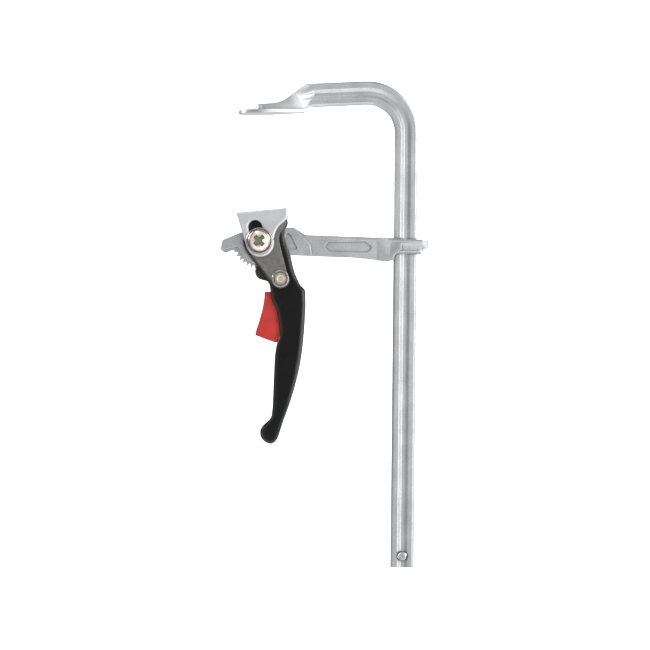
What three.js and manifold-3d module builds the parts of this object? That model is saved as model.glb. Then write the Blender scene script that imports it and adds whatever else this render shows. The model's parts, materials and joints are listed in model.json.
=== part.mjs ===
// Ratchet-lever F clamp: a grooved rail with a forged fixed jaw, a sliding arm with a toothed head,
// a lever whose cam cheeks lift a pressure jaw, and a sprung pawl with a release trigger.
// Millimetres, +Z up, +X from the jaws towards the rail, front face at -Y.
// The origin is the middle of the fixed jaw's clamping face.
import * as THREE from 'three';
import { mergeVertices } from 'three/addons/utils/BufferGeometryUtils.js';
import Module from 'manifold-3d';

const wasm = await Module();
wasm.setup();

const rad = THREE.MathUtils.degToRad;

// ---- overall sizes ----
const CAPACITY = 300; // largest opening between the jaws
const RESERVE = 4; // travel past the nominal capacity
const THROAT = 120; // pad tip to the rail's inner edge
const REST_OPENING = 74.8; // opening of the modelled pose
const GAP = 0.3; // running clearance between neighbouring pieces

// ---- rail and fixed jaw ----
const RAIL_WIDTH = 18;
const RAIL_THICK = 9;
const RAIL_BEVEL = [1.2, 1.6]; // across the thickness, across the width
const GROOVE_TOP = 7.7;
const GROOVE_FLOOR = 2.5;
const GROOVE_DEPTH = 1.7;
const RUN_OUT = [-14, -17]; // degrees the groove dips and rises out where the jaw begins
const BEND_RADIUS = 30; // centreline
const BEND_STEPS = 14;
const UPPER_ARM_LEAN = 3; // degrees below level, towards the jaw
const UPPER_ARM_START = 34;
const UPPER_ARM_RISE = 14.4; // centreline above the face at its start
const PAD_TIP = 17;
const PAD_WIDTH = 31;
const PAD_THICK = [3.1, 2.8]; // at the tip and at the root
const PAD_END = 33.5;
const PAD_TILT = 2; // degrees
const NECK_WIDTH = 14;
const PIN_RADIUS = 3.25;
const PIN_LENGTH = 15;
const PIN_SINK = 1.1; // countersink round the stop pin
const PIN_TO_END = 8.8;

// ---- sliding arm ----
const WEB_THICK = 10;
const FACE_STEP = 0.8; // depth of the sunk fields on the arm's faces
const WEB_CHAMFER = 2.4; // along the top of the web, measured inwards
const POCKET_DEPTH = 1.3;
const COLLAR_WIDTH = 18;
const COLLAR_WALL = 9; // beyond the rail's outer edge
const TOOTH_PITCH = 9.6; // degrees
const TOOTH_TIP = 21.2;
const TOOTH_DEPTH = 2.7;
const TEETH_OPEN = 6; // teeth the lever opens by
const TEETH_CLOSE = 1; // teeth the lever still closes by

// ---- pivot stack, from the arm outwards ----
const BOLT_RADIUS = 4;
const BOLT_HEAD_RADIUS = 8.5;
const BOLT_HEAD_HEIGHT = 4.2;
const HEAD_RIM = 1.4; // straight edge below the dome
const BOLT_END = 1.2; // the bolt's reach into its nut
const SHIM_THICK = 1.4;
const SHIM_RADIUS = 9;
const CHEEK_THICK = 2.5;
const SIDE_PLATE_THICK = 2.5;
const JAW_CHEEK_THICK = 3;
const BUSH_FLANGE_RADIUS = 10;
const BUSH_FLANGE_THICK = 1.6;
const BUSH_WALL = 0.7; // sleeve between the bolt and the jaw's slot
const BUSH_RIM = [1.1, 0.8]; // width and height of the raised rim round the bolt head
const RECESS_ARM = [4.7, 1.5, 3.2]; // cross recess: half length, half width, depth

// ---- pressure jaw ----
const JAW_TILT = 6; // degrees
const JAW_HEIGHT = 23.2; // pivot to clamping face
const JAW_PLATE_THICK = 3.5;
const JAW_BACK = 15.7; // pivot to the tip side
const JAW_FRONT = 23.9; // pivot to the rail side
const JAW_BOSS_RADIUS = 10.7;
const SLOT_LEAN = 11.4; // degrees between the slot and the plate's normal
const SLOT_SPARE = [5.2, 0.8]; // slot beyond the travel, above and below

// ---- lever ----
const CAM_BASE = 5.6; // base circle of the involute cam
const CAM_GAP = 1; // cam to plate, room for the jaw to tilt
const CAM_TOP_TURN = 26; // degrees of involute past the modelled pose
const LEVER_WALL = 2.5;

// ---- pawl and trigger ----
const PAWL_PIVOT = [16.4, -28.9]; // from the main pivot
const PAWL_PIN_RADIUS = 3.25;
const PAWL_THICK = 9;
const PAWL_DROP = 4.6; // degrees from the modelled pose into the teeth
const LOBE_SEAT = 23.4; // from the main pivot, clear of the tooth tips as the pawl drops
const NOSE_ANGLE = -95; // degrees round the main pivot
const NOSE_LENGTH = 2.1;
const NOSE_SPREAD = 3.4; // degrees from its middle to either flank, at its root
const RIVET_HEAD_RADIUS = 4.6;
const RIVET_HEAD_THICK = 0.5;
const RIVET_CORE = [3.2, 1.4, 0.25]; // radius, height above the head, depth of its cup
const CUP_RADIUS = 6.5;
const CUP_THICK = 0.9;
const CUP_RIM = [1.4, 1.5]; // width and height of the washer's rim
const TRIGGER_WIDTH = 12.6;
const TONGUE_WIDTH = 4.6;
const TRIGGER_PIN_RADIUS = 1.5;
const TRIGGER_SKIN = 1.3; // closes the pin's bore at each face
const TRIGGER_PIN_AT = [9.6, -58];
const SPRING_WIRE = 0.7;
const SPRING_RADIUS = 4.6;
const SPRING_TURNS = 1.2;
const SPRING_LEG = 9;

// ---- places that follow from the sizes above ----
const railX = THROAT - PAD_TIP + RAIL_WIDTH / 2;
const pivotZ = -(REST_OPENING + JAW_HEIGHT);
const lipDepth = 8.6; // underside of the collar below the pivot
const pinZ = -(CAPACITY + RESERVE + JAW_HEIGHT + lipDepth + PIN_RADIUS);
const railEnd = pinZ - PIN_TO_END;
const shimFrom = WEB_THICK / 2 + GAP;
const cheekFrom = shimFrom + SHIM_THICK + GAP;
const sidePlateFrom = cheekFrom + CHEEK_THICK + GAP;
const jawCheekFrom = sidePlateFrom + SIDE_PLATE_THICK + GAP;
const jawHalf = jawCheekFrom + JAW_CHEEK_THICK;
const flangeFrom = jawHalf + GAP;
const headFrom = flangeFrom + BUSH_FLANGE_THICK + GAP;
const cupFrom = sidePlateFrom + SIDE_PLATE_THICK + GAP;
const rivetHeadFrom = cupFrom + CUP_THICK + GAP;
const openAngle = TEETH_OPEN * TOOTH_PITCH;
const closeAngle = TEETH_CLOSE * TOOTH_PITCH;
const pinBed = TRIGGER_WIDTH / 2 - TRIGGER_SKIN;
const liftPerRadian = CAM_BASE / Math.cos(rad(SLOT_LEAN));
const slotHalf = BOLT_RADIUS + BUSH_WALL + 2 * GAP;
const slotDown = liftPerRadian * rad(closeAngle) + SLOT_SPARE[1];
const camRise = JAW_HEIGHT - JAW_PLATE_THICK - CAM_GAP;

// ---- geometry helpers ----
const polar = (radius, degrees, [x, z] = [0, 0]) => [
  x + radius * Math.cos(rad(degrees)),
  z + radius * Math.sin(rad(degrees)),
];

function turned([x, z], degrees) {
  const [c, s] = [Math.cos(rad(degrees)), Math.sin(rad(degrees))];
  return [x * c - z * s, x * s + z * c];
}

function arc(centre, radius, from, to, steps = 10) {
  return Array.from({ length: steps + 1 }, (_, i) => polar(radius, from + ((to - from) * i) / steps, centre));
}

// A smooth curve through a few points.
function through(points, steps) {
  const curve = new THREE.SplineCurve(points.map(([x, z]) => new THREE.Vector2(x, z)));
  return curve.getPoints(steps).map((p) => [p.x, p.y]);
}

// A closed outline; a corner with a third number is rounded to that radius.
function outline(corners, steps = 5) {
  const points = [];
  corners.forEach(([x, z, radius], i) => {
    const here = new THREE.Vector2(x, z);
    if (!radius) return points.push([x, z]);
    const [px, pz] = corners.at(i - 1);
    const [nx, nz] = corners[(i + 1) % corners.length];
    const back = new THREE.Vector2(px, pz).sub(here).normalize();
    const on = new THREE.Vector2(nx, nz).sub(here).normalize();
    const half = Math.acos(back.dot(on)) / 2;
    const reach = radius / Math.tan(half);
    const centre = back.clone().add(on).normalize().multiplyScalar(radius / Math.sin(half)).add(here);
    const start = back.multiplyScalar(reach).add(here).sub(centre).angle();
    const end = on.multiplyScalar(reach).add(here).sub(centre).angle();
    const sweep = THREE.MathUtils.euclideanModulo(end - start + Math.PI, 2 * Math.PI) - Math.PI;
    for (let k = 0; k <= steps; k += 1) {
      const angle = start + (sweep * k) / steps;
      points.push([centre.x + radius * Math.cos(angle), centre.y + radius * Math.sin(angle)]);
    }
  });
  return points;
}

// The points moved sideways by a distance, to the right of their direction of travel.
function offset(points, distance) {
  return points.map(([x, z], i) => {
    const [ax, az] = points[Math.max(i - 1, 0)];
    const [bx, bz] = points[Math.min(i + 1, points.length - 1)];
    const length = Math.hypot(bx - ax, bz - az);
    return [x + (distance * (bz - az)) / length, z - (distance * (bx - ax)) / length];
  });
}

function solid(geometry) {
  geometry.deleteAttribute('normal');
  geometry.deleteAttribute('uv');
  const merged = mergeVertices(geometry, 1e-4);
  return new wasm.Manifold(new wasm.Mesh({
    numProp: 3,
    vertProperties: new Float32Array(merged.attributes.position.array),
    triVerts: new Uint32Array(merged.index.array),
  }));
}

const shapeOf = (points) => new THREE.Shape(points.map(([x, z]) => new THREE.Vector2(x, z)));

// Side outline in X and Z, thick from one Y to another.
function slab(points, from, to) {
  const geometry = new THREE.ExtrudeGeometry(shapeOf(points), { depth: to - from, bevelEnabled: false });
  return solid(geometry.rotateX(Math.PI / 2).translate(0, to, 0));
}

// Plan outline in X and Y, tall from one Z to another.
function prism(points, from, to) {
  const geometry = new THREE.ExtrudeGeometry(shapeOf(points), { depth: to - from, bevelEnabled: false });
  return solid(geometry.translate(0, 0, from));
}

// End outline in Y and Z, long from one X to another.
function bar(points, from, to) {
  const geometry = new THREE.ExtrudeGeometry(shapeOf(points), { depth: to - from, bevelEnabled: false });
  return solid(geometry.rotateX(Math.PI / 2).rotateZ(Math.PI / 2).translate(from, 0, 0));
}

function rod(radius, from, to, [x, z] = [0, 0], sides = 28) {
  const geometry = new THREE.CylinderGeometry(radius, radius, to - from, sides);
  return solid(geometry.translate(x, (from + to) / 2, z));
}

// A turned piece on an axis along Y: [radius, y] pairs.
function lathe(pairs, [x, z] = [0, 0], sides = 32) {
  const geometry = new THREE.LatheGeometry(pairs.map(([r, y]) => new THREE.Vector2(r, y)), sides);
  return solid(geometry.translate(x, 0, z));
}

const both = (make) => make(1).add(make(-1));
const ordered = (side, near, far) => (side > 0 ? [near, far] : [-far, -near]);
const mirrored = (half) => [...half, ...half.map(([x, y]) => [x, -y]).reverse()];

function meshOf(name, piece, look, at = [0, 0, 0]) {
  const data = piece.getMesh();
  const geometry = new THREE.BufferGeometry();
  geometry.setAttribute('position', new THREE.BufferAttribute(new Float32Array(data.vertProperties), 3));
  geometry.setIndex(new THREE.BufferAttribute(new Uint32Array(data.triVerts), 1));
  geometry.computeVertexNormals();
  const mesh = new THREE.Mesh(geometry, new THREE.MeshStandardMaterial(look));
  mesh.name = name;
  mesh.position.set(...at);
  return mesh;
}

const zincSteel = { color: '#b9bbbd', metalness: 1, roughness: 0.42 };
const palePlate = { color: '#c8c9cd', metalness: 1, roughness: 0.35 };
const darkSteel = { color: '#6b6a68', metalness: 1, roughness: 0.5 };
const nickel = { color: '#cbbfb2', metalness: 1, roughness: 0.3 };
const blackEnamel = { color: '#08090a', metalness: 0, roughness: 0.18 };
const redPlastic = { color: '#cc3d33', metalness: 0, roughness: 0.45 };

// ---- rail with its fixed jaw ----

// The rail's centreline: straight leg, round bend, upper arm. Steps fall only where it turns.
class RailPath extends THREE.Curve {
  constructor() {
    super();
    const total = 90 + UPPER_ARM_LEAN;
    const run = railX - BEND_RADIUS - UPPER_ARM_START;
    const drop = Math.tan(rad(UPPER_ARM_LEAN)) * (run + BEND_RADIUS * Math.cos(rad(total)));
    const centreZ = UPPER_ARM_RISE + drop - BEND_RADIUS * Math.sin(rad(total));
    const bend = arc([railX - BEND_RADIUS, centreZ], BEND_RADIUS, 0, total, BEND_STEPS);
    const turns = bend.map((_, i) => (total * i) / BEND_STEPS);
    this.places = [[railX, railEnd], ...bend, [UPPER_ARM_START, UPPER_ARM_RISE]];
    this.turns = [0, ...turns, total];
  }

  index(t) {
    return Math.round(t * (this.places.length - 1));
  }

  getPointAt(t) {
    const [x, z] = this.places[this.index(t)];
    return new THREE.Vector3(x, 0, z);
  }

  getTangentAt(t) {
    const turn = rad(this.turns[this.index(t)]);
    return new THREE.Vector3(-Math.sin(turn), 0, Math.cos(turn));
  }

  getSpacedPoints(divisions) {
    return Array.from({ length: divisions + 1 }, (_, i) => this.getPointAt(i / divisions));
  }
}

function railBar() {
  const [t, w] = [RAIL_THICK / 2, RAIL_WIDTH / 2];
  const side = [
    [t - RAIL_BEVEL[0], w],
    [t, w - RAIL_BEVEL[1]],
    [t, GROOVE_TOP / 2],
    [t - GROOVE_DEPTH, GROOVE_FLOOR / 2],
  ];
  const front = mirrored(side);
  const section = shapeOf([...front, ...front.map(([x, y]) => [-x, -y])]);
  const path = new RailPath();
  return solid(new THREE.ExtrudeGeometry(section, { extrudePath: path, steps: path.places.length - 1 }));
}

function fixedJaw() {
  const padPlan = mirrored([
    ...arc([0, 0], PAD_TIP, 180, 180 - 58, 8),
    [8, PAD_WIDTH / 2],
    [PAD_END - 5, NECK_WIDTH / 2 + 1],
    [PAD_END, NECK_WIDTH / 2],
  ]);
  const [tipThick, rootThick] = PAD_THICK;
  const padSide = [[-PAD_TIP, 0], [-PAD_TIP, tipThick], [PAD_END, rootThick], [PAD_END, 0]];
  const pad = slab(padSide, -PAD_WIDTH / 2, PAD_WIDTH / 2).intersect(prism(padPlan, -1, 20));
  const neckSide = outline([
    [-4.4, 2, 0],
    [-4.4, 7.4, 2.5],
    [16, 8.2, 22],
    [34.2, 21.8, 5],
    [42, 21.9, 0],
    [42, 4.6, 0],
    [PAD_END, 3.6, 0],
    [PAD_END - 2, 2, 0],
  ]);
  const neckPlan = mirrored([
    ...arc([NECK_WIDTH / 2 - 4.4, 0], NECK_WIDTH / 2, 180, 90, 6),
    [26, NECK_WIDTH / 2],
    [39, RAIL_THICK / 2],
    [42, RAIL_THICK / 2 - RAIL_BEVEL[0]],
  ]);
  const neck = slab(neckSide, -NECK_WIDTH / 2, NECK_WIDTH / 2).intersect(prism(neckPlan, 0, 40));
  return pad.add(neck).rotate([0, -PAD_TILT, 0]);
}

// The rail's grooves run out along the jaw's neck, dipping and rising to its surface.
function grooveRunOut() {
  const slope = (GROOVE_TOP - GROOVE_FLOOR) / 2 / GROOVE_DEPTH;
  const [floor, wide] = [GROOVE_FLOOR / 2, GROOVE_FLOOR / 2 + 4 * slope];
  const [dip, rise] = RUN_OUT;
  const cutter = bar([[0, -floor], [4, -wide], [4, wide], [0, floor]], -17, 1)
    .rotate([0, dip, rise])
    .translate([UPPER_ARM_START + 7, RAIL_THICK / 2 - GROOVE_DEPTH, UPPER_ARM_RISE + 0.4]);
  return cutter.add(cutter.mirror([0, 1, 0]));
}

function rail() {
  const hole = rod(PIN_RADIUS + GAP, -RAIL_THICK, RAIL_THICK, [railX, pinZ]);
  const depth = [RAIL_THICK / 2 - PIN_SINK, RAIL_THICK];
  const sink = both((side) => rod(PIN_RADIUS + PIN_SINK, ...ordered(side, ...depth), [railX, pinZ]));
  return railBar().add(fixedJaw().subtract(grooveRunOut())).subtract(hole).subtract(sink);
}

function stopPin() {
  const half = PIN_LENGTH / 2;
  return lathe([[0, -half], [PIN_RADIUS - 0.6, -half], [PIN_RADIUS, 0.6 - half], [PIN_RADIUS, half - 0.6],
    [PIN_RADIUS - 0.6, half], [0, half]], [railX, pinZ], 28);
}

// ---- sliding arm, placed from the main pivot ----

// Where the pawl's nose lies when it is dropped into the teeth.
function meshAngle() {
  const tip = polar(TOOTH_TIP + GAP, NOSE_ANGLE);
  const arm = [tip[0] - PAWL_PIVOT[0], tip[1] - PAWL_PIVOT[1]];
  const [x, z] = turned(arm, -PAWL_DROP);
  return THREE.MathUtils.radToDeg(Math.atan2(z + PAWL_PIVOT[1], x + PAWL_PIVOT[0]));
}

function teeth() {
  const points = [];
  const land = 0.1 * TOOTH_PITCH;
  for (let k = -TEETH_CLOSE - 1; k <= TEETH_OPEN; k += 1) {
    const gap = meshAngle() - k * TOOTH_PITCH;
    points.push(polar(TOOTH_TIP, gap + TOOTH_PITCH / 2 - land));
    points.push(polar(TOOTH_TIP - TOOTH_DEPTH, gap));
    points.push(polar(TOOTH_TIP, gap - TOOTH_PITCH / 2 + land));
  }
  return points;
}

const collarX = railX; // the pivot stands above x = 0
const collarEnd = collarX + RAIL_WIDTH / 2 + COLLAR_WALL;

function armWeb() {
  const side = [
    [-14.7, 6.6, 0],
    [20.5, 10.4, 0],
    [25.8, 11.2, 5],
    [35.4, 5.2, 7],
    [collarX - 8, 3.4, 0],
    [collarX - 8, -13.6, 0],
    [collarX - 15, -14.6, 3],
    [collarX - 27, -13.2, 12],
    [collarX - 41, -12, 12],
    [38.5, -11.2, 0],
    [22, -10.6, 6],
    [6.5, -20.6, 0],
  ];
  const beak = [[-19.8, -6.9, 0.6], [-26.6, -9.4, 1.6], [-30.2, -6.8, 2], [-28.8, 0.7, 3]];
  return slab(outline([...side, ...teeth(), ...beak]), -WEB_THICK / 2, WEB_THICK / 2);
}

// Sunk fields on the arm's faces: the toothed rim, the recess beside the lever and the long pocket.
function armFields() {
  const rim = [...arc([0, 0], 17.5, -166, -76, 16), ...arc([0, 0], 34, -76, -166, 8)];
  const recess = outline([[21, 7, 1], [24, 4.6, 1], [29.6, -6.4, 1.4], [17, -6.8, 1]]);
  const field = [
    ...through([[26.2, 12], [31, 5.6], [36, 0.6], [39.3, -4], [39.9, -13]], 12),
    [44, -14],
    [44, 9],
  ];
  const pocketEnd = collarX - 25;
  const pocket = outline([
    [49.6, -3.8, 2],
    [52.9, 0, 2],
    [pocketEnd - 6, 0.6, 2],
    [pocketEnd, -3.8, 2],
    [pocketEnd - 4, -8, 2],
    [53.4, -7.4, 2],
  ]);
  const flat = [[44, 9], [44, -20], [collarX - 18, -20], [collarX - 18, 9]];
  return both((side) => {
    const sunk = (points, depth) => slab(points, ...ordered(side, WEB_THICK / 2 - depth, WEB_THICK));
    return sunk(rim, FACE_STEP)
      .add(sunk(recess, POCKET_DEPTH))
      .add(sunk(field, FACE_STEP))
      .add(sunk(flat, FACE_STEP))
      .add(sunk(pocket, POCKET_DEPTH + FACE_STEP));
  });
}

// Chamfers along the top of the web, sloping with it towards the rail.
function armChamfer() {
  const half = WEB_THICK / 2;
  const inner = half - WEB_CHAMFER;
  const wedge = bar([[inner, 6.6], [half + 1, 1.4], [half + 1, 9], [inner, 9]], 37, collarX - 17);
  return wedge.add(wedge.mirror([0, 1, 0])).rotate([0, 2, 0]);
}

function collar() {
  const half = COLLAR_WIDTH / 2;
  const edge = railX - RAIL_WIDTH / 2;
  const side = outline([
    [collarX - 21, 4, 0],
    [collarEnd, 1.8, 1],
    [collarEnd, -4.6, 0.8],
    [collarX - 1, -4, 5],
    [edge + 1.6, -9.2, 6],
    [edge - 2, -14.6, 3],
    [collarX - 21, -14.2, 0],
  ]);
  const plan = mirrored([
    [collarX - 21, WEB_THICK / 2 - 0.6],
    [edge - 3, half],
    [collarEnd - 5, half],
    [collarEnd, half - 4],
  ]);
  const neck = mirrored([[edge - 2, half - 2], [collarEnd - 6, half - 2], [collarEnd - 4, half - 4]]);
  const lip = mirrored([[edge - 1, half - 1], [collarEnd - 7, half - 1], [collarEnd - 5, half - 3]]);
  const bevel = bar([[half - 2.6, 4.4], [half + 1, -0.4], [half + 1, 4.4]], collarX - 22, collarEnd + 1);
  const bevels = bevel.add(bevel.mirror([0, 1, 0]));
  const underBody = bar([[half - 3.4, -5.2], [half + 1, -5.2], [half + 1, 0.4]], collarX - 3, collarEnd + 1);
  const underLip = bar([[half - 3.4, -lipDepth - 0.8], [half + 1, -lipDepth - 0.8], [half + 1, -5.4]],
    edge - 2, collarEnd + 1);
  const under = (cut) => cut.add(cut.mirror([0, 1, 0]));
  const whole = slab(side, -half, half).intersect(prism(plan, -20, 20));
  const body = whole.subtract(bevels).subtract(under(underBody));
  return body.add(prism(neck, -6.6, -3.5)).add(prism(lip, -lipDepth, -6.4).subtract(under(underLip)));
}

function slidingArm() {
  const [w, t] = [RAIL_WIDTH / 2 + GAP, RAIL_THICK / 2 + GAP];
  const way = prism([[railX - w, -t], [railX + w, -t], [railX + w, t], [railX - w, t]], -30, 30);
  const bore = rod(BOLT_RADIUS + GAP, -WEB_THICK, WEB_THICK);
  const web = armWeb().subtract(armFields()).subtract(armChamfer());
  return web.add(collar()).subtract(way).subtract(bore);
}

// ---- pivot stack ----

// Cross recess of a screw head, cut from the outside.
function crossRecess(face) {
  const [length, width, depth] = RECESS_ARM;
  const armOf = (x, z) => slab([[-x, -z], [x, -z], [x, z], [-x, z]], -face, depth - face);
  return armOf(length, width).add(armOf(width, length)).rotate([0, 45, 0]);
}

// Low dome from its rim to its crown, as [radius, y] pairs outwards from the seat.
function dome(radius, height, rim, steps = 5) {
  return Array.from({ length: steps + 1 }, (_, i) => {
    const angle = (Math.PI / 2) * (i / steps);
    return [i < steps ? radius * Math.cos(angle) : 0, rim + (height - rim) * Math.sin(angle)];
  });
}

function pivotBolt() {
  const end = headFrom + BOLT_END;
  const crown = headFrom + BOLT_HEAD_HEIGHT;
  const head = dome(BOLT_HEAD_RADIUS, BOLT_HEAD_HEIGHT, HEAD_RIM).map(([r, y]) => [r, -headFrom - y]);
  const pairs = [...head.reverse(), [BOLT_HEAD_RADIUS, -headFrom], [BOLT_RADIUS, -headFrom],
    [BOLT_RADIUS, end], [0, end]];
  return lathe(pairs).subtract(crossRecess(crown + 0.5));
}

// Round-headed sleeve nut over the bolt's end.
function pivotNut() {
  const head = dome(BOLT_HEAD_RADIUS, BOLT_HEAD_HEIGHT, HEAD_RIM).map(([r, y]) => [r, headFrom + y]);
  const hole = BOLT_RADIUS + GAP;
  const depth = headFrom + BOLT_END + GAP;
  return lathe([[0, depth], [hole, depth], [hole, headFrom], [BOLT_HEAD_RADIUS, headFrom], ...head]);
}

function ring(inner, outer, side, near, far, centre) {
  const [from, to] = ordered(side, near, far);
  const bevel = Math.min(0.3, (to - from) / 4);
  return lathe([[inner, from], [outer - bevel, from], [outer, from + bevel], [outer, to - bevel],
    [outer - bevel, to], [inner, to], [inner, from]], centre, 28);
}

function guideBush(side) {
  const inner = BOLT_RADIUS + GAP;
  const body = ring(inner, inner + BUSH_WALL, side, jawCheekFrom, flangeFrom + 0.5);
  const flangeEnd = flangeFrom + BUSH_FLANGE_THICK;
  const [width, height] = BUSH_RIM;
  return body
    .add(ring(inner, BUSH_FLANGE_RADIUS, side, flangeFrom, flangeEnd))
    .add(ring(BUSH_FLANGE_RADIUS - width, BUSH_FLANGE_RADIUS, side, flangeFrom, flangeEnd + height));
}

// ---- pressure jaw, drawn square to its plate and then tilted ----

function jawSlot() {
  const up = liftPerRadian * rad(openAngle) + SLOT_SPARE[0];
  const top = arc([0, up], slotHalf, 0, 180, 12);
  const bottom = arc([0, -slotDown], slotHalf, 180, 360, 12);
  return [...top, ...bottom].map((point) => turned(point, SLOT_LEAN));
}

function pressureJaw() {
  const boss = turned([0, -slotDown], SLOT_LEAN);
  const side = [
    [JAW_FRONT - 0.9, JAW_HEIGHT],
    [-JAW_BACK, JAW_HEIGHT],
    ...arc(boss, JAW_BOSS_RADIUS, 190, 370, 22),
    ...through([[11.6, 2], [13.2, 6], [16.6, 10.2], [20.6, 13], [23.2, 15.4], [JAW_FRONT, 18.2]], 14),
    [JAW_FRONT, JAW_HEIGHT - 0.9],
  ];
  const hollow = [
    [-40, -40],
    [40, -40],
    [40, JAW_HEIGHT - JAW_PLATE_THICK],
    [-40, JAW_HEIGHT - JAW_PLATE_THICK],
  ];
  const half = jawHalf;
  return slab(side, -half, half)
    .subtract(slab(hollow, -jawCheekFrom, jawCheekFrom))
    .subtract(slab(jawSlot(), -half - 1, half + 1))
    .rotate([0, -JAW_TILT, 0]);
}

// ---- lever ----

// Involute of the base circle: a flat plate above it rises evenly as the lever turns.
function camPoint(turn) {
  const rise = camRise + CAM_BASE * rad(turn);
  return turned([CAM_BASE, rise], JAW_TILT - turn);
}

function leverRightEdge() {
  const upper = through([[21.2, 12.4], [19.2, 8], [20.8, -1.6], [23.8, -10.5], [27, -23.2], [31.6, -33.4]], 18);
  const shoulder = outline([[31.6, -33.4, 0], [35.6, -37, 4], [36, -50, 0]]);
  const grip = through([[36, -50], [35.2, -66], [34.2, -79], [32.2, -94], [29.2, -108], [25, -123],
    [19.8, -138], [17.2, -146.4], [15, -152.2], [11.6, -155.4], [8.6, -155.4]], 40);
  return [...upper, ...shoulder.slice(1), ...grip.slice(1)];
}

function leverOutline() {
  const camTurn = openAngle + CAM_TOP_TURN;
  const cam = Array.from({ length: 19 }, (_, i) => camPoint((camTurn * i) / 18 - openAngle));
  const tip = arc([18.9, 14.4], 2.8, 75, -20, 6);
  const bulb = through([[8.6, -155.4], [5.4, -153.9], [2.8, -150.9], [1.8, -147], [2.6, -143.4], [5.3, -140.1],
    [8.6, -137.2]], 18);
  const left = through([[8.6, -137.2], [10.4, -133.8], [11.2, -127], [11.6, -116], [12, -102], [12.6, -88],
    [13.8, -79]], 22);
  const waist = through([[13.8, -79], [16, -72], [15.6, -64], [13.4, -52.6], [9.8, -45], [8.4, -36]], 16);
  const upperLeft = [[8, -32.6], [1.8, -23.5], [-5.3, -14.3], [-9.6, -8.6], [-12, -3.7], [-12.6, 0],
    [-12.2, 3.6]];
  const leftEdge = [...bulb.slice(1), ...left.slice(1), ...waist.slice(1), ...upperLeft];
  return [...cam, ...tip, ...leverRightEdge(), ...leftEdge];
}

function leverShell() {
  const half = cheekFrom + CHEEK_THICK;
  const spine = leverRightEdge().filter(([, z]) => z < -26);
  const inside = [
    [70, -26],
    ...offset(spine, LEVER_WALL),
    ...arc([8.4, -147.8], 4.4, 262, 140, 8),
    [11.8, -134.8],
    [-70, -128],
    [-70, 70],
    [70, 70],
  ];
  return slab(leverOutline(), -half, half)
    .subtract(slab(inside, -cheekFrom, cheekFrom))
    .subtract(rod(BOLT_RADIUS + GAP, -half - 1, half + 1))
    .subtract(rod(PAWL_PIN_RADIUS + GAP, -half - 1, half + 1, PAWL_PIVOT));
}

function sidePlate(side) {
  const [from, to] = ordered(side, sidePlateFrom, sidePlateFrom + SIDE_PLATE_THICK);
  const edge = [
    ...arc([0, 0], 9.2, 100, 205, 10),
    ...through([[-5.6, -11.6], [-2.1, -15.8], [3.4, -22.6], [9.6, -31]], 8),
    ...arc(PAWL_PIVOT, 7.2, 205, 352, 12),
    ...through([[22, -26.6], [20.6, -21.4], [17.8, -10.7], [15.6, -2.4], [15, 3.4], [17.2, 8.8],
      [20, 12.8]], 18),
    ...arc([18, 13.6], 2, 0, 110, 5),
    ...through([[16.8, 15.4], [10, 13.6], [2.4, 9.8]], 6),
  ];
  return slab(edge, from, to)
    .subtract(rod(BOLT_RADIUS + GAP, from - 1, to + 1))
    .subtract(rod(PAWL_PIN_RADIUS + GAP, from - 1, to + 1, PAWL_PIVOT));
}

// ---- pawl, trigger and their pins ----

function pawlPin() {
  const [radius, height, hollow] = RIVET_CORE;
  const inner = rivetHeadFrom;
  const outer = inner + RIVET_HEAD_THICK;
  const end = outer + height;
  const half = [
    [PAWL_PIN_RADIUS, inner],
    [RIVET_HEAD_RADIUS, inner],
    [RIVET_HEAD_RADIUS, outer],
    [radius, outer],
    [radius, end - 0.2],
    [radius - 0.2, end],
    [radius - 0.6, end],
    [radius - 1, end - hollow],
    [0, end - hollow],
  ];
  return lathe([...half.map(([r, y]) => [r, -y]).reverse(), ...half], PAWL_PIVOT, 28);
}

function cupWasher(side) {
  const [width, height] = CUP_RIM;
  const end = cupFrom + CUP_THICK;
  return ring(PAWL_PIN_RADIUS + GAP, CUP_RADIUS, side, cupFrom, end, PAWL_PIVOT)
    .add(ring(CUP_RADIUS - width, CUP_RADIUS, side, cupFrom, end + height, PAWL_PIVOT));
}

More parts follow.
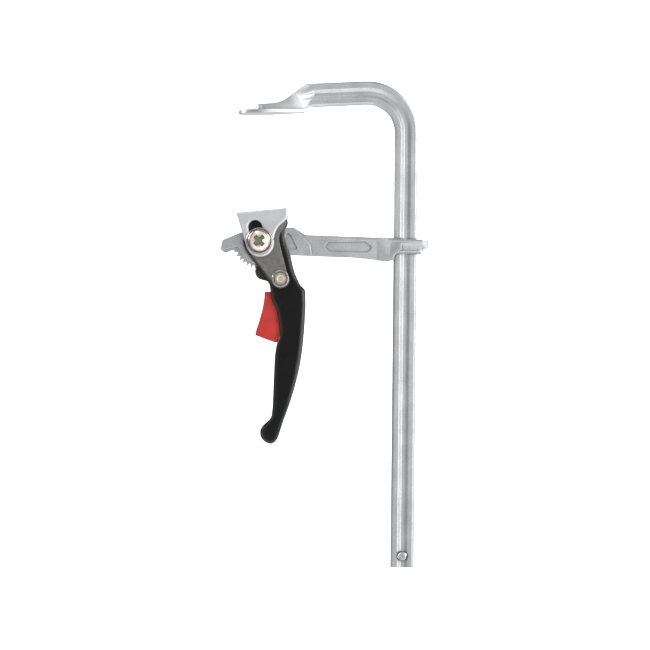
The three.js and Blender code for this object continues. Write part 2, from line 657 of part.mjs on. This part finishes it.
function pawl() {
  const tip = polar(TOOTH_TIP + GAP, NOSE_ANGLE);
  const noseLeft = polar(TOOTH_TIP + GAP + NOSE_LENGTH, NOSE_ANGLE - NOSE_SPREAD);
  const noseRight = polar(TOOTH_TIP + GAP + NOSE_LENGTH, NOSE_ANGLE + NOSE_SPREAD);
  const tipLand = polar(TOOTH_TIP + GAP, NOSE_ANGLE - 1);
  const body = [
    tip,
    tipLand,
    noseLeft,
    ...through([[-3.2, -24.2], [-2.4, -26], [-0.6, -27.9], [2.8, -29.4], [6.4, -31], [8.6, -36],
      [9.4, -41]], 14),
    [10.4, -43],
    [18.6, -43],
    ...arc(PAWL_PIVOT, 6.6, -60, 75, 12),
    ...through([[12.4, -20.9], [7.4, -21.2], [3, -22.8]], 6),
    noseRight,
  ];
  const tongue = outline([[10.4, -36, 0], [18.4, -36, 0], [16, -62, 2.5], [7, -62, 2.5], [10, -50, 0]]);
  const half = PAWL_THICK / 2;
  const lobeHalf = cheekFrom - GAP;
  const lobe = [
    ...through([[3, -19.2], [-1.6, -19.4], [-3.2, -22.4], [-2.9, -25.6], [-0.8, -28.6], [2.8, -29.9],
      [6.4, -30.9], [9.6, -32]], 22),
    [10.4, -27],
    [8, -21.4],
  ];
  const seat = rod(LOBE_SEAT, -shimFrom, shimFrom, [0, 0], 72);
  return slab(lobe, -lobeHalf, lobeHalf)
    .subtract(seat)
    .add(slab(body, -half, half))
    .add(slab(tongue, -TONGUE_WIDTH / 2, TONGUE_WIDTH / 2))
    .subtract(rod(PAWL_PIN_RADIUS + GAP, -half - 1, half + 1, PAWL_PIVOT))
    .subtract(rod(TRIGGER_PIN_RADIUS + GAP, -half - 1, half + 1, TRIGGER_PIN_AT));
}

function trigger() {
  const front = through([[4.1, -39.2], [4, -43.6], [3.4, -48], [2.2, -54], [0.2, -61.6], [-1.6, -67],
    [-2.8, -71.8]], 12);
  const edge = [
    [11.6, -38.7],
    [4.6, -38.7],
    ...front,
    [-2.2, -72.6],
    [12.6, -78],
    [15, -77.6],
    ...through([[19.4, -74], [20, -66], [18.6, -56], [13.6, -47.6]], 10),
  ];
  const tongueHalf = TONGUE_WIDTH / 2 + GAP;
  const tongueRoom = [[5.6, -38], [24, -38], [24, -64], [5.6, -64]];
  const pawlHalf = PAWL_THICK / 2 + GAP;
  const pawlRoom = [[8, -38], [24, -38], [24, -43.6], [9.8, -43.6], [8.6, -41]];
  return slab(edge, -TRIGGER_WIDTH / 2, TRIGGER_WIDTH / 2)
    .subtract(slab(tongueRoom, -tongueHalf, tongueHalf))
    .subtract(slab(pawlRoom, -pawlHalf, pawlHalf))
    .subtract(rod(TRIGGER_PIN_RADIUS + GAP, -pinBed, pinBed, TRIGGER_PIN_AT));
}

function triggerPin() {
  return rod(TRIGGER_PIN_RADIUS, GAP - pinBed, pinBed - GAP, TRIGGER_PIN_AT, 20);
}

// Torsion spring round the pawl pin: a coil with one leg to the lever's back and one to the pawl.
class SpringPath extends THREE.Curve {
  getPoint(t, target = new THREE.Vector3()) {
    const legShare = 0.2;
    const near = PAWL_THICK / 2 + GAP + SPRING_WIRE / 2;
    const far = cheekFrom - GAP - SPRING_WIRE / 2;
    const coil = THREE.MathUtils.clamp((t - legShare) / (1 - 2 * legShare), 0, 1);
    const angle = rad(300 + 360 * SPRING_TURNS * coil);
    const past = t < legShare ? t - legShare : Math.max(t - 1 + legShare, 0);
    const leg = (past / legShare) * SPRING_LEG;
    const x = PAWL_PIVOT[0] + SPRING_RADIUS * Math.cos(angle) - leg * Math.sin(angle);
    const z = PAWL_PIVOT[1] + SPRING_RADIUS * Math.sin(angle) + leg * Math.cos(angle);
    return target.set(x, -THREE.MathUtils.lerp(near, far, coil), z);
  }
}

function pawlSpring() {
  const section = shapeOf(arc([0, 0], SPRING_WIRE / 2, 0, 300, 5));
  return solid(new THREE.ExtrudeGeometry(section, { extrudePath: new SpringPath(), steps: 50 }));
}

// ---- the whole clamp ----
const atPivot = [0, 0, pivotZ];
const clamp = new THREE.Group();
clamp.name = 'f_clamp';
clamp.add(
  meshOf('rail', rail(), zincSteel),
  meshOf('rail_stop_pin', stopPin(), nickel),
  meshOf('sliding_arm', slidingArm(), zincSteel, atPivot),
  meshOf('pivot_bolt', pivotBolt(), nickel, atPivot),
  meshOf('pivot_nut', pivotNut(), nickel, atPivot),
  meshOf('pressure_jaw', pressureJaw(), palePlate, atPivot),
  meshOf('lever', leverShell(), blackEnamel, atPivot),
  meshOf('pawl_pin', pawlPin(), nickel, atPivot),
  meshOf('pawl', pawl(), darkSteel, atPivot),
  meshOf('pawl_spring', pawlSpring(), zincSteel, atPivot),
  meshOf('trigger', trigger(), redPlastic, atPivot),
  meshOf('trigger_pin', triggerPin(), nickel, atPivot),
);
for (const [end, side] of [['front', -1], ['rear', 1]]) {
  const shim = ring(BOLT_RADIUS + GAP, SHIM_RADIUS, side, shimFrom, shimFrom + SHIM_THICK);
  const cup = cupWasher(side);
  clamp.add(
    meshOf(`arm_shim_${end}`, shim, nickel, atPivot),
    meshOf(`side_plate_${end}`, sidePlate(side), darkSteel, atPivot),
    meshOf(`guide_bush_${end}`, guideBush(side), nickel, atPivot),
    meshOf(`pawl_washer_${end}`, cup, nickel, atPivot),
  );
}
// The spring fills the front gap beside the pawl; a spacer fills the rear one.
const spacerEnd = cheekFrom - GAP;
const spacer = ring(PAWL_PIN_RADIUS + GAP, 5.6, 1, PAWL_THICK / 2 + GAP, spacerEnd, PAWL_PIVOT);
clamp.add(meshOf('pawl_spacer', spacer, nickel, atPivot));

export default clamp;
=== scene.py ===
"""Looks of the ratchet-lever F clamp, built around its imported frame.

Metres, +Z up, front face at -Y, the frame's origin in the middle of the fixed jaw's face.
Names that end in _mm are millimetres.
"""

import json
import math

import bmesh
import bpy
import numpy as np
from mathutils import Matrix, Vector

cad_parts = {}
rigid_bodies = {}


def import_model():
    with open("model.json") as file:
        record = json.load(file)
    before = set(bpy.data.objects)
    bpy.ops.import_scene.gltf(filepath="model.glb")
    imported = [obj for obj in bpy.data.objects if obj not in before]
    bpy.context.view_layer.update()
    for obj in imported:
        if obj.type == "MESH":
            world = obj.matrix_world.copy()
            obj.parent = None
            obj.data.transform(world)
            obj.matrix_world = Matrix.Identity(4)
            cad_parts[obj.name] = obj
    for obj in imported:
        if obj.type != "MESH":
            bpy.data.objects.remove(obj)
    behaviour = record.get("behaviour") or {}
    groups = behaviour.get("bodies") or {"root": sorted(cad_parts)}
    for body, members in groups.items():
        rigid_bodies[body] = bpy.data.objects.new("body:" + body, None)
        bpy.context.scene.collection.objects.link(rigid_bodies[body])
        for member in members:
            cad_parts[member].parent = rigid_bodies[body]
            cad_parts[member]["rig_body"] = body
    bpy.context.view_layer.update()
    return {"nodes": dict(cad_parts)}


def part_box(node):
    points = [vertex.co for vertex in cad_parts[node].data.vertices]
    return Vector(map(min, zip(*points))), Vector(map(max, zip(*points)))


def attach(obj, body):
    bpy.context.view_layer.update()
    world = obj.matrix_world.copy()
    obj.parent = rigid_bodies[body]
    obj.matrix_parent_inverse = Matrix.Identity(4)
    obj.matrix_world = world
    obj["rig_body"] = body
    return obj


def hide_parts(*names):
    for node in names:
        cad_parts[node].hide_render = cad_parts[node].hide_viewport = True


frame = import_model()
MM = 0.001

# Pieces
MERGE_MM = 0.004                   # vertices closer than this are one
FLAT_ANGLE = math.radians(0.6)     # faces that meet at less lie in one plane
SHARP_ANGLE = math.radians(32)     # edges that turn by more are rounded
BEVEL_SEGMENTS = 3
FLAT_FACE_WEIGHT = 80              # how far large faces pull the shading flat
NARROW_RADIUS = 0.25               # share of the arm's radius at its teeth and collar
TEETH_REACH_MM = 22                # from the pivot to past the tooth tips
RAIL_WIDTH_MM = 18
COLLAR_WALL_MM = 1                 # how far past the rail the narrow edges go

# Floor and wall
FLOOR_DROP = 0.16                  # below the rail's end: the lever hangs past it when the arm is right down
FLOOR_FRONT = -5.0
FLOOR_HALF_WIDTH = 6.0
WALL_Y = 2.6
WALL_TOP = 5.0
WALL_BEND = 1.2
BEND_STEPS = 25

# Camera
CAMERA_TARGET = Vector((0.0509, 0.0, -0.162))
CAMERA_DISTANCE = 2.33
FRAME_WIDTH = 0.5005               # what the picture spans at the clamp
CAMERA_ROLL = math.radians(0.57)
SENSOR_WIDTH = 36.0

# Tent brightness from the camera's side (0) past the clamp's sides (0.5) to behind it (1).
TENT_BASE = [
    (0.0, 0.06), (0.028, 0.12), (0.065, 1.75), (0.2, 1.5), (0.3, 0.9),
    (0.42, 0.5), (0.6, 0.3), (0.93, 0.3), (0.985, 1.3), (1.0, 2.4),
]
# How much of the lean towards the bright side is added at the same places.
TENT_SWING = [(0.0, 0.0), (0.08, 0.4), (0.25, 1.2), (0.36, 0.95), (0.5, 0.3), (0.75, 0.1), (1.0, 0.0)]
TENT_DARKEST = 0.25
TENT_BRIGHT_SIDE = (0.65, 0.0, -0.7)

PIVOT = np.array([sum(c) / 2 for c in zip(*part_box("pivot_bolt"))])


# ---------------------------------------------------------------- colours and nodes
def linear(hex_colour):
    """sRGB hex to a linear RGBA tuple."""
    channels = [int(hex_colour[i:i + 2], 16) / 255 for i in (1, 3, 5)]
    return tuple(c / 12.92 if c <= 0.04045 else ((c + 0.055) / 1.055) ** 2.4 for c in channels) + (1.0,)


def add(tree, kind, links=(), **settings):
    """Adds one node. Settings are sockets by name, or the node's own properties; links are (socket, output)."""
    node = tree.nodes.new(kind)
    for name, value in settings.items():
        if hasattr(node, name):
            setattr(node, name, value)
        else:
            node.inputs[name.replace("_", " ")].default_value = value
    for socket, output in links:
        target = node.inputs[socket] if isinstance(socket, int) else node.inputs[socket.replace("_", " ")]
        tree.links.new(output, target)
    return node


def banded(tree, factor, stops):
    """A colour ramp through (place, linear RGBA) stops."""
    node = add(tree, "ShaderNodeValToRGB", [("Fac", factor)])
    elements = node.color_ramp.elements
    while len(elements) < len(stops):
        elements.new(0.5)
    for element, (place, colour) in zip(elements, stops):
        element.position = place
        element.color = colour
    return node.outputs["Color"]


def ramp(tree, factor, stops):
    """A colour that follows a factor through (place, hex colour) stops."""
    return banded(tree, factor, [(place, linear(colour)) for place, colour in stops])


def levels(tree, factor, stops):
    """A grey value that follows a factor through (place, value) stops."""
    return banded(tree, factor, [(place, (value, value, value, 1.0)) for place, value in stops])


def spread(tree, factor, low, high):
    """A factor from 0 to 1 stretched between two values."""
    node = add(tree, "ShaderNodeMapRange", [("Value", factor)], To_Min=low, To_Max=high)
    return node.outputs["Result"]


def spread_from(tree, value, low, high):
    """A value between two limits squeezed to a factor from 0 to 1."""
    node = add(tree, "ShaderNodeMapRange", [("Value", value)], From_Min=low, From_Max=high)
    return node.outputs["Result"]


def material(name):
    """An empty material with a Principled shader; returns it, its tree, the shader and object coordinates."""
    made = bpy.data.materials.new(name)
    made.use_nodes = True
    tree = made.node_tree
    tree.nodes.clear()
    shader = add(tree, "ShaderNodeBsdfPrincipled")
    add(tree, "ShaderNodeOutputMaterial", [("Surface", shader.outputs["BSDF"])])
    place = add(tree, "ShaderNodeTexCoord").outputs["Object"]
    return made, tree, shader, place


def grain(tree, place, size_mm, detail=2.0, stretch=(1, 1, 1)):
    """Noise whose blobs are size_mm across, stretched along an axis by a factor below one."""
    mapped = add(tree, "ShaderNodeMapping", [("Vector", place)])
    mapped.inputs["Scale"].default_value = stretch
    noise = add(tree, "ShaderNodeTexNoise", [("Vector", mapped.outputs["Vector"])], Detail=detail)
    noise.inputs["Scale"].default_value = 1 / (size_mm * MM)
    return noise.outputs["Fac"]


def bumped(tree, shader, height, depth_mm, strength, round_mm=0.0):
    """Feeds a height pattern of a real depth into the shader's normal.

    With round_mm, edges are shaded as if rounded to that radius, under a clear coat as well.
    """
    node = add(tree, "ShaderNodeBump", [("Height", height)], Strength=strength, Distance=depth_mm * MM)
    if round_mm:
        edge = add(tree, "ShaderNodeBevel", Radius=round_mm * MM, samples=8)
        tree.links.new(edge.outputs["Normal"], node.inputs["Normal"])
        tree.links.new(edge.outputs["Normal"], shader.inputs["Coat Normal"])
    tree.links.new(node.outputs["Normal"], shader.inputs["Normal"])


def crevice_shade_painted(tree, colour, reach_mm, darkest):
    """A colour darkened by ambient occlusion in narrow gaps and inner corners: painted shade where the geometry
    hides the light.
    """
    near = add(tree, "ShaderNodeAmbientOcclusion", Distance=reach_mm * MM, samples=6).outputs["AO"]
    shade = levels(tree, near, [(0.3, darkest), (0.9, 1.0)])
    mix = add(tree, "ShaderNodeMix", [(6, colour), (7, shade)], data_type="RGBA", blend_type="MULTIPLY")
    mix.inputs[0].default_value = 1.0
    return mix.outputs[2]


# ---------------------------------------------------------------- materials
def forged_zinc():
    """Shot-blasted forging under zinc plate: a satin grey with a fine sparkle and faint clouds."""
    made, tree, shader, place = material("zinc_plated_forging")
    peen = grain(tree, place, size_mm=0.9, detail=3.0)
    cloud = grain(tree, place, size_mm=14, detail=3.0)
    both = add(tree, "ShaderNodeMix", [("A", peen), ("B", cloud)], Factor=0.45).outputs["Result"]
    tone = ramp(tree, both, [(0.36, "#bbbdc0"), (0.5, "#cacccf"), (0.64, "#d7d9db")])
    # painted shade: the zinc colour is darkened by ambient occlusion in gaps, grooves and recesses
    tree.links.new(crevice_shade_painted(tree, tone, reach_mm=2.4, darkest=0.12), shader.inputs["Base Color"])
    tree.links.new(spread(tree, peen, low=0.42, high=0.34), shader.inputs["Roughness"])
    shader.inputs["Metallic"].default_value = 1.0
    pits = grain(tree, place, size_mm=0.7)
    bumped(tree, shader, pits, depth_mm=0.02, strength=0.4, round_mm=0.7)
    return made


def pressed_zinc():
    """Zinc-plated pressing: paler than the forgings, with faint rolling lines."""
    made, tree, shader, place = material("zinc_plated_pressing")
    lines = grain(tree, place, size_mm=0.8, stretch=(0.05, 1, 1))
    cloud = grain(tree, place, size_mm=9)
    tone = ramp(tree, cloud, [(0.35, "#cfd0d5"), (0.65, "#d8d9dd")])
    # painted shade: the pressing's colour is darkened by ambient occlusion in its slot and inner corners
    tree.links.new(crevice_shade_painted(tree, tone, reach_mm=1.2, darkest=0.4), shader.inputs["Base Color"])
    tree.links.new(spread(tree, lines, low=0.42, high=0.5), shader.inputs["Roughness"])
    shader.inputs["Metallic"].default_value = 1.0
    bumped(tree, shader, lines, depth_mm=0.01, strength=0.4, round_mm=2.6)
    return made


def phosphated_steel(name, dark, light):
    """Hardened plates and pawl under phosphate: warm grey satin with a mottled bloom."""
    made, tree, shader, place = material(name)
    bloom = grain(tree, place, size_mm=3.2, detail=4.0)
    tree.links.new(ramp(tree, bloom, [(0.3, dark), (0.7, light)]), shader.inputs["Base Color"])
    tree.links.new(spread(tree, bloom, low=0.4, high=0.5), shader.inputs["Roughness"])
    shader.inputs["Metallic"].default_value = 1.0
    bumped(tree, shader, grain(tree, place, size_mm=0.6), depth_mm=0.02, strength=0.5)
    return made


def nickel_plate(name, smoothest, roughest):
    """Nickel plate on turned steel: bright and slightly warm, with an uneven polish."""
    made, tree, shader, place = material(name)
    cloud = grain(tree, place, size_mm=5)
    tone = ramp(tree, cloud, [(0.35, "#cdc3b8"), (0.65, "#e0d7cc")])
    # painted shade: the nickel colour is darkened by ambient occlusion in recesses and gaps
    tree.links.new(crevice_shade_painted(tree, tone, reach_mm=1.3, darkest=0.15), shader.inputs["Base Color"])
    polish = grain(tree, place, size_mm=0.5)
    tree.links.new(spread(tree, polish, smoothest, roughest), shader.inputs["Roughness"])
    shader.inputs["Metallic"].default_value = 1.0
    return made


def spring_wire():
    """Drawn music wire: bright grey with a slight grain."""
    made, tree, shader, place = material("drawn_spring_wire")
    tone = ramp(tree, grain(tree, place, size_mm=0.4), [(0.3, "#8e9094"), (0.7, "#b4b6ba")])
    tree.links.new(tone, shader.inputs["Base Color"])
    shader.inputs["Metallic"].default_value = 1.0
    shader.inputs["Roughness"].default_value = 0.3
    return made


def black_powder_coat():
    """Gloss black powder coat on pressed steel, with a soft orange-peel ripple."""
    made, tree, shader, place = material("black_powder_coat")
    peel = grain(tree, place, size_mm=1.6, detail=1.0)
    tone = ramp(tree, grain(tree, place, size_mm=11, detail=3.0), [(0.35, "#040404"), (0.7, "#090a0b")])
    tree.links.new(tone, shader.inputs["Base Color"])
    wear = grain(tree, place, size_mm=7, detail=3.0)
    tree.links.new(spread(tree, wear, low=0.14, high=0.26), shader.inputs["Roughness"])
    shader.inputs["IOR"].default_value = 1.5
    shader.inputs["Specular IOR Level"].default_value = 0.2
    shader.inputs["Coat Weight"].default_value = 1.0
    shader.inputs["Coat IOR"].default_value = 1.55
    shader.inputs["Coat Roughness"].default_value = 0.05
    bumped(tree, shader, peel, depth_mm=0.03, strength=0.6, round_mm=4.5)
    return made


def red_nylon():
    """Moulded red nylon: saturated satin, with a fine spark-eroded texture and faint clouds."""
    made, tree, shader, place = material("red_moulded_nylon")
    cloud = grain(tree, place, size_mm=8)
    tree.links.new(ramp(tree, cloud, [(0.3, "#b0241b"), (0.7, "#bd2e24")]), shader.inputs["Base Color"])
    shader.inputs["Roughness"].default_value = 0.38
    shader.inputs["IOR"].default_value = 1.53
    shader.inputs["Subsurface Weight"].default_value = 0.05
    shader.inputs["Subsurface Radius"].default_value = (0.002, 0.0006, 0.0004)
    spark = grain(tree, place, size_mm=0.35, detail=1.0)
    bumped(tree, shader, spark, depth_mm=0.02, strength=0.5, round_mm=1.5)
    return made


ZINC = forged_zinc()
PRESSED = pressed_zinc()
DARK = phosphated_steel("phosphated_steel", "#7d7b79", "#8b8987")
BLACKENED = phosphated_steel("blackened_steel", "#3b3a3a", "#4a4948")
NICKEL = nickel_plate("nickel_plated_steel", 0.16, 0.28)
RIVET = nickel_plate("nickel_plated_rivet", 0.36, 0.44)
WIRE = spring_wire()
BLACK = black_powder_coat()
RED = red_nylon()


# ---------------------------------------------------------------- pieces
def linked(obj):
    bpy.context.scene.collection.objects.link(obj)
    return obj


def smooth_shaded(obj):
    obj.data.polygons.foreach_set("use_smooth", np.ones(len(obj.data.polygons), bool))
    return obj


def settle(obj, node, finish):
    """Puts a finished piece in place of its frame node, on the same body and material slot."""
    obj.data.materials.clear()
    obj.data.materials.append(finish)
    body = frame["nodes"][node]["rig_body"]
    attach(obj, body)
    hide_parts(node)


def merged_copy(node, name):
    """A copy of a frame node with its doubles merged and its flat faces joined."""
    obj = frame["nodes"][node].copy()
    obj.data = obj.data.copy()
    obj.parent = None
    for key in list(obj.keys()):
        del obj[key]
    obj.name = obj.data.name = name
    work = bmesh.new()
    work.from_mesh(obj.data)
    bmesh.ops.remove_doubles(work, verts=work.verts, dist=MERGE_MM * MM)
    bmesh.ops.dissolve_limit(work, angle_limit=FLAT_ANGLE, verts=work.verts, edges=work.edges)
    bmesh.ops.recalc_face_normals(work, faces=work.faces)
    work.to_mesh(obj.data)
    work.free()
    return linked(obj)


def weigh_edges(obj, weigh):
    """Gives each sharp edge a bevel weight from weigh(midpoints in mm), and the other edges none."""
    work = bmesh.new()
    work.from_mesh(obj.data)
    work.edges.ensure_lookup_table()
    angles = np.array([e.calc_face_angle(0.0) if len(e.link_faces) == 2 else 0.0 for e in work.edges])
    middles = np.array([(e.verts[0].co + e.verts[1].co) / 2 for e in work.edges]) / MM
    work.free()
    weights = np.where(angles > SHARP_ANGLE, weigh(middles), 0.0).astype(np.float32)
    attribute = obj.data.attributes.new("bevel_weight_edge", "FLOAT", "EDGE")
    attribute.data.foreach_set("value", weights)


def rounded(node, finish, radius_mm, weigh=None):
    """A frame piece with its sharp edges rounded to a radius; weigh scales the radius by place."""
    obj = merged_copy(node, node + "_finished")
    bevel = obj.modifiers.new("edge_rounding", "BEVEL")
    bevel.width = radius_mm * MM
    bevel.segments = BEVEL_SEGMENTS
    bevel.limit_method = "ANGLE"
    bevel.angle_limit = SHARP_ANGLE
    if weigh:
        weigh_edges(obj, weigh)
        bevel.limit_method = "WEIGHT"
    normals = obj.modifiers.new("flat_faces", "WEIGHTED_NORMAL")
    normals.keep_sharp = False
    normals.weight = FLAT_FACE_WEIGHT
    settle(smooth_shaded(obj), node, finish)


def arm_radii(at):
    """Forging radii, narrow at the teeth and round the collar."""
    pivot_x, _, pivot_z = PIVOT / MM
    teeth = (np.hypot(at[:, 0] - pivot_x, at[:, 2] - pivot_z) < TEETH_REACH_MM) & (at[:, 2] < pivot_z)
    rail_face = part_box("rail")[1].x / MM
    collar = (at[:, 0] > rail_face - RAIL_WIDTH_MM - COLLAR_WALL_MM) & (at[:, 0] < rail_face + COLLAR_WALL_MM)
    return np.where(teeth | collar, NARROW_RADIUS, 1.0)


rounded("sliding_arm", ZINC, 0.6, arm_radii)
rounded("rail", ZINC, 0.45)
rounded("pressure_jaw", PRESSED, 0.6)
rounded("lever", BLACK, 0.6)
for end in ("front", "rear"):
    rounded(f"side_plate_{end}", DARK, 0.35)
    rounded(f"arm_shim_{end}", NICKEL, 0.15)
    rounded(f"guide_bush_{end}", NICKEL, 0.25)
    rounded(f"pawl_washer_{end}", NICKEL, 0.25)
rounded("pivot_bolt", NICKEL, 0.3)
rounded("pivot_nut", NICKEL, 0.3)
rounded("pawl_pin", RIVET, 0.2)
rounded("pawl_spacer", NICKEL, 0.2)
rounded("rail_stop_pin", ZINC, 0.2)
rounded("pawl", BLACKENED, 0.4)
rounded("trigger", RED, 0.4)
rounded("trigger_pin", NICKEL, 0.3)
rounded("pawl_spring", WIRE, 0.05)


# ---------------------------------------------------------------- studio
def cyclorama():
    """Pale floor that turns up into a wall: one curve in Y and Z, carried along X."""
    floor_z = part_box("rail")[0].z - FLOOR_DROP
    turn = np.linspace(-math.pi / 2, 0, BEND_STEPS)
    bend_y = WALL_Y - WALL_BEND + WALL_BEND * np.cos(turn)
    bend_z = floor_z + WALL_BEND + WALL_BEND * np.sin(turn)
    ys = np.concatenate([[FLOOR_FRONT], bend_y, [WALL_Y]])
    zs = np.concatenate([[floor_z], bend_z, [floor_z + WALL_TOP]])
    rows = len(ys)
    vertices = [(x, y, z) for x in (-FLOOR_HALF_WIDTH, FLOOR_HALF_WIDTH) for y, z in zip(ys, zs)]
    faces = [(i, i + 1, rows + i + 1, rows + i) for i in range(rows - 1)]
    mesh = bpy.data.meshes.new("floor")
    mesh.from_pydata(vertices, [], faces)
    obj = linked(smooth_shaded(bpy.data.objects.new("floor", mesh)))
    made, _, shader, _ = material("studio_paper")
    shader.inputs["Base Color"].default_value = linear("#f4f4f3")
    shader.inputs["Roughness"].default_value = 0.9
    mesh.materials.append(made)
    obj.visible_glossy = False


def area_light(name, place, target, size, watts):
    """A rectangular soft light that faces a point."""
    light = bpy.data.lights.new(name, "AREA")
    light.shape = "RECTANGLE"
    light.size, light.size_y = size
    light.energy = watts
    obj = bpy.data.objects.new(name, light)
    obj.location = place
    obj.rotation_euler = (Vector(target) - Vector(place)).to_track_quat("-Z", "Y").to_euler()
    linked(obj)


def camera():
    """Level view of the front, with a lens that frames half a metre at the clamp."""
    data = bpy.data.cameras.new("camera")
    data.sensor_width = SENSOR_WIDTH
    data.lens = SENSOR_WIDTH * CAMERA_DISTANCE / FRAME_WIDTH
    obj = linked(bpy.data.objects.new("camera", data))
    turn = Matrix.Rotation(math.radians(90), 4, "X") @ Matrix.Rotation(CAMERA_ROLL, 4, "Z")
    obj.matrix_world = Matrix.Translation(CAMERA_TARGET + Vector((0, -CAMERA_DISTANCE, 0))) @ turn
    bpy.context.scene.camera = obj


def world():
    """A grey tent round the clamp, brighter to the right and below, with a dark spot round the camera."""
    made = bpy.data.worlds.new("studio")
    made.use_nodes = True
    tree = made.node_tree
    tree.nodes.clear()
    towards = add(tree, "ShaderNodeTexCoord").outputs["Generated"]
    depth = add(tree, "ShaderNodeSeparateXYZ", [("Vector", towards)]).outputs["Y"]
    behind = spread_from(tree, depth, -1, 1)
    base = levels(tree, behind, TENT_BASE)
    swing = levels(tree, behind, TENT_SWING)
    lean = add(tree, "ShaderNodeVectorMath", [(0, towards)], operation="DOT_PRODUCT")
    lean.inputs[1].default_value = TENT_BRIGHT_SIDE
    turned = add(tree, "ShaderNodeMath", [(0, swing), (1, lean.outputs["Value"])], operation="MULTIPLY")
    total = add(tree, "ShaderNodeMath", [(0, base), (1, turned.outputs[0])], operation="ADD")
    lit = add(tree, "ShaderNodeMath", [(0, total.outputs[0])], operation="MAXIMUM")
    lit.inputs[1].default_value = TENT_DARKEST
    background = add(tree, "ShaderNodeBackground", [("Strength", lit.outputs[0])])
    add(tree, "ShaderNodeOutputWorld", [("Surface", background.outputs["Background"])])
    bpy.context.scene.world = made


cyclorama()
clamp_middle = (0.05, 0, -0.16)
area_light("key", (-0.6, -1.2, 1.8), clamp_middle, (0.8, 0.8), 8)
area_light("strip", (1.6, -2.1, 0.0), clamp_middle, (0.35, 1.6), 14)
area_light("front", (0.65, -2.2, -0.1), (0.1, 0, -0.15), (0.5, 0.5), 3)
area_light("wall_left", (-2.2, 0.7, 1.2), (-0.4, 2.6, 0.3), (1.5, 2.0), 120)
area_light("wall_right", (2.3, 0.7, 1.2), (0.5, 2.6, 0.3), (1.5, 2.0), 120)
area_light("floor_wash", (0.0, 1.6, 2.6), (0.05, 1.6, -0.3), (3.0, 1.0), 6)
world()
bpy.context.scene.view_settings.view_transform = "Standard"
camera()
